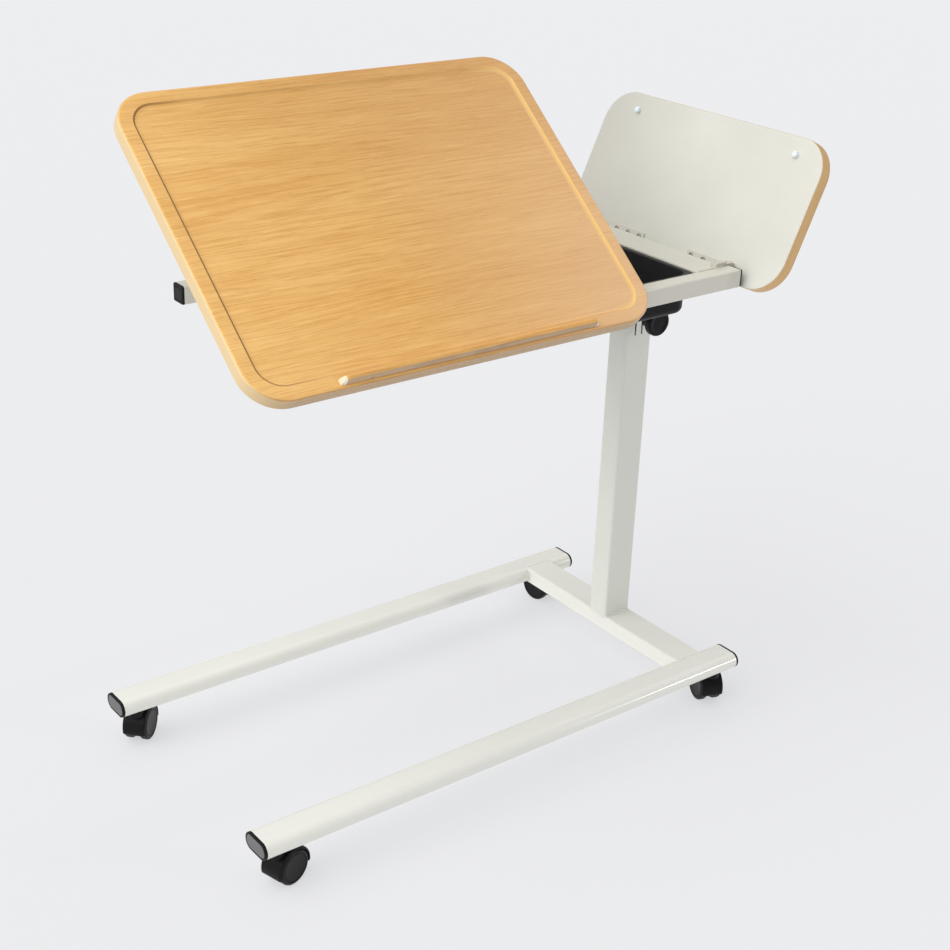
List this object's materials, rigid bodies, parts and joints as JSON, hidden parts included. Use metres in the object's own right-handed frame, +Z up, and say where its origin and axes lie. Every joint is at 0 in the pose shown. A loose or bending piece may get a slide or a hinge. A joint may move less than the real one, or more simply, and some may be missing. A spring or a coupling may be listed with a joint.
{
  "type": "overbed table",
  "caption": "Height-adjustable overbed table on a U-shaped castor base, with a tilting wood-grain main board, a fold-up side flap and a tray beneath it.",
  "frame": {"origin": "on the floor, midway between the two legs and under the middle of the table's length", "axes": "+X along the legs towards the column, +Y to the far leg away from the user, +Z up"},
  "size_m": [0.9107, 0.4716, 0.9514],
  "materials": {
    "ivory_powder_coat": "semi-gloss powder coat",
    "oak_foil": "light oak grain foil, satin",
    "white_laminate": "smooth white melamine sheet",
    "black_plastic": "moulded, fine satin texture",
    "black_wheel": "hard nylon, satin",
    "black_rubber": "matt",
    "zinc_steel": "bright zinc plated",
    "white_nylon": "natural nylon"
  },
  "bodies": {
    "base": {"leg_near": "ivory_powder_coat", "leg_far": "ivory_powder_coat", "base_cross": "ivory_powder_coat", "column_outer": "ivory_powder_coat", "column_liner": "black_plastic", "clamp_bush": "ivory_powder_coat", "leg_caps": "black_plastic", "castor_sockets": "black_plastic", "castor_stems": "zinc_steel"},
    "carriage": {"column_inner": "ivory_powder_coat", "column_glide": "black_plastic", "head_cross": "ivory_powder_coat", "frame_tube_near": "ivory_powder_coat", "frame_tube_far": "ivory_powder_coat", "frame_cross_left": "ivory_powder_coat", "frame_cross_mid": "ivory_powder_coat", "frame_caps": "black_plastic", "tray": "black_plastic", "tray_ledges": "ivory_powder_coat", "flap_lug_near": "ivory_powder_coat", "flap_lug_far": "ivory_powder_coat", "flap_pins": "zinc_steel", "flap_stops": "black_rubber", "top_hinge_bases": "zinc_steel", "top_hinge_pins": "zinc_steel", "tilt_bolts": "zinc_steel"},
    "main_top": {"main_board": "oak_foil", "main_backing": "white_laminate", "book_lip": "oak_foil", "top_hinge_leaves": "zinc_steel", "tilt_quadrant_left": "zinc_steel", "tilt_quadrant_right": "zinc_steel", "main_screws": "zinc_steel", "main_bumpers": "white_nylon"},
    "flap": {"flap_board": "oak_foil", "flap_backing": "white_laminate", "flap_bracket_near": "ivory_powder_coat", "flap_bracket_far": "ivory_powder_coat", "flap_screws": "zinc_steel", "flap_bumpers": "white_nylon"},
    "clamp_pad": {"clamp_pad": "white_nylon"},
    "clamp_knob": {"clamp_knob": "black_plastic", "clamp_screw": "zinc_steel"},
    "castor_near_left": {"castor_hood_near_left": "black_plastic", "castor_axle_near_left": "zinc_steel"},
    "wheel_near_left_a": {"wheel_near_left_a": "black_wheel"},
    "wheel_near_left_b": {"wheel_near_left_b": "black_wheel"},
    "castor_far_left": {"castor_hood_far_left": "black_plastic", "castor_axle_far_left": "zinc_steel"},
    "wheel_far_left_a": {"wheel_far_left_a": "black_wheel"},
    "wheel_far_left_b": {"wheel_far_left_b": "black_wheel"},
    "castor_near_right": {"castor_hood_near_right": "black_plastic", "castor_axle_near_right": "zinc_steel"},
    "wheel_near_right_a": {"wheel_near_right_a": "black_wheel"},
    "wheel_near_right_b": {"wheel_near_right_b": "black_wheel"},
    "castor_far_right": {"castor_hood_far_right": "black_plastic", "castor_axle_far_right": "zinc_steel"},
    "wheel_far_right_a": {"wheel_far_right_a": "black_wheel"},
    "wheel_far_right_b": {"wheel_far_right_b": "black_wheel"}
  },
  "joints": [
    {"name": "height_slide", "type": "slide", "parent": "base", "child": "carriage", "axis": [0, 0, 1], "range_m": [0, 0.34]},
    {"name": "clamp_travel", "type": "slide", "parent": "base", "child": "clamp_pad", "axis": [0, -1, 0], "range_m": [0, 0.0025]},
    {"name": "clamp_turn", "type": "hinge", "parent": "clamp_pad", "child": "clamp_knob", "pos_m": [0.306, -0.04, 0.583], "axis": [0, -1, 0], "range_deg": [0, 720]},
    {"name": "tilt", "type": "hinge", "parent": "carriage", "child": "main_top", "pos_m": [0, -0.1667, 0.692], "axis": [1, 0, 0], "range_deg": [-39.2, 0]},
    {"name": "flap_hinge", "type": "hinge", "parent": "carriage", "child": "flap", "pos_m": [0.3474, 0, 0.6856], "axis": [0, -1, 0], "range_deg": [0, 114.4]},
    {"name": "swivel_near_left", "type": "hinge", "parent": "base", "child": "castor_near_left", "pos_m": [-0.424, -0.196, 0.05], "axis": [0, 0, 1], "continuous": true},
    {"name": "spin_near_left_a", "type": "hinge", "parent": "castor_near_left", "child": "wheel_near_left_a", "pos_m": [-0.40855, -0.19186, 0.025], "axis": [0.2588, -0.9659, 0], "continuous": true},
    {"name": "spin_near_left_b", "type": "hinge", "parent": "castor_near_left", "child": "wheel_near_left_b", "pos_m": [-0.40855, -0.19186, 0.025], "axis": [0.2588, -0.9659, 0], "continuous": true},
    {"name": "swivel_far_left", "type": "hinge", "parent": "base", "child": "castor_far_left", "pos_m": [-0.424, 0.196, 0.05], "axis": [0, 0, 1], "continuous": true},
    {"name": "spin_far_left_a", "type": "hinge", "parent": "castor_far_left", "child": "wheel_far_left_a", "pos_m": [-0.41211, 0.20671, 0.025], "axis": [0.6691, -0.7431, 0], "continuous": true},
    {"name": "spin_far_left_b", "type": "hinge", "parent": "castor_far_left", "child": "wheel_far_left_b", "pos_m": [-0.41211, 0.20671, 0.025], "axis": [0.6691, -0.7431, 0], "continuous": true},
    {"name": "swivel_near_right", "type": "hinge", "parent": "base", "child": "castor_near_right", "pos_m": [0.346, -0.196, 0.05], "axis": [0, 0, 1], "continuous": true},
    {"name": "spin_near_right_a", "type": "hinge", "parent": "castor_near_right", "child": "wheel_near_right_a", "pos_m": [0.35147, -0.18096, 0.025], "axis": [0.9397, -0.342, 0], "continuous": true},
    {"name": "spin_near_right_b", "type": "hinge", "parent": "castor_near_right", "child": "wheel_near_right_b", "pos_m": [0.35147, -0.18096, 0.025], "axis": [0.9397, -0.342, 0], "continuous": true},
    {"name": "swivel_far_right", "type": "hinge", "parent": "base", "child": "castor_far_right", "pos_m": [0.346, 0.196, 0.05], "axis": [0, 0, 1], "continuous": true},
    {"name": "spin_far_right_a", "type": "hinge", "parent": "castor_far_right", "child": "wheel_far_right_a", "pos_m": [0.34377, 0.21184, 0.025], "axis": [0.9903, 0.1392, 0], "continuous": true},
    {"name": "spin_far_right_b", "type": "hinge", "parent": "castor_far_right", "child": "wheel_far_right_b", "pos_m": [0.34377, 0.21184, 0.025], "axis": [0.9903, 0.1392, 0], "continuous": true}
  ],
  "couplings": [
    {"joint": "clamp_travel", "follows": "clamp_turn", "m_per_rad": 0.00019894}
  ]
}
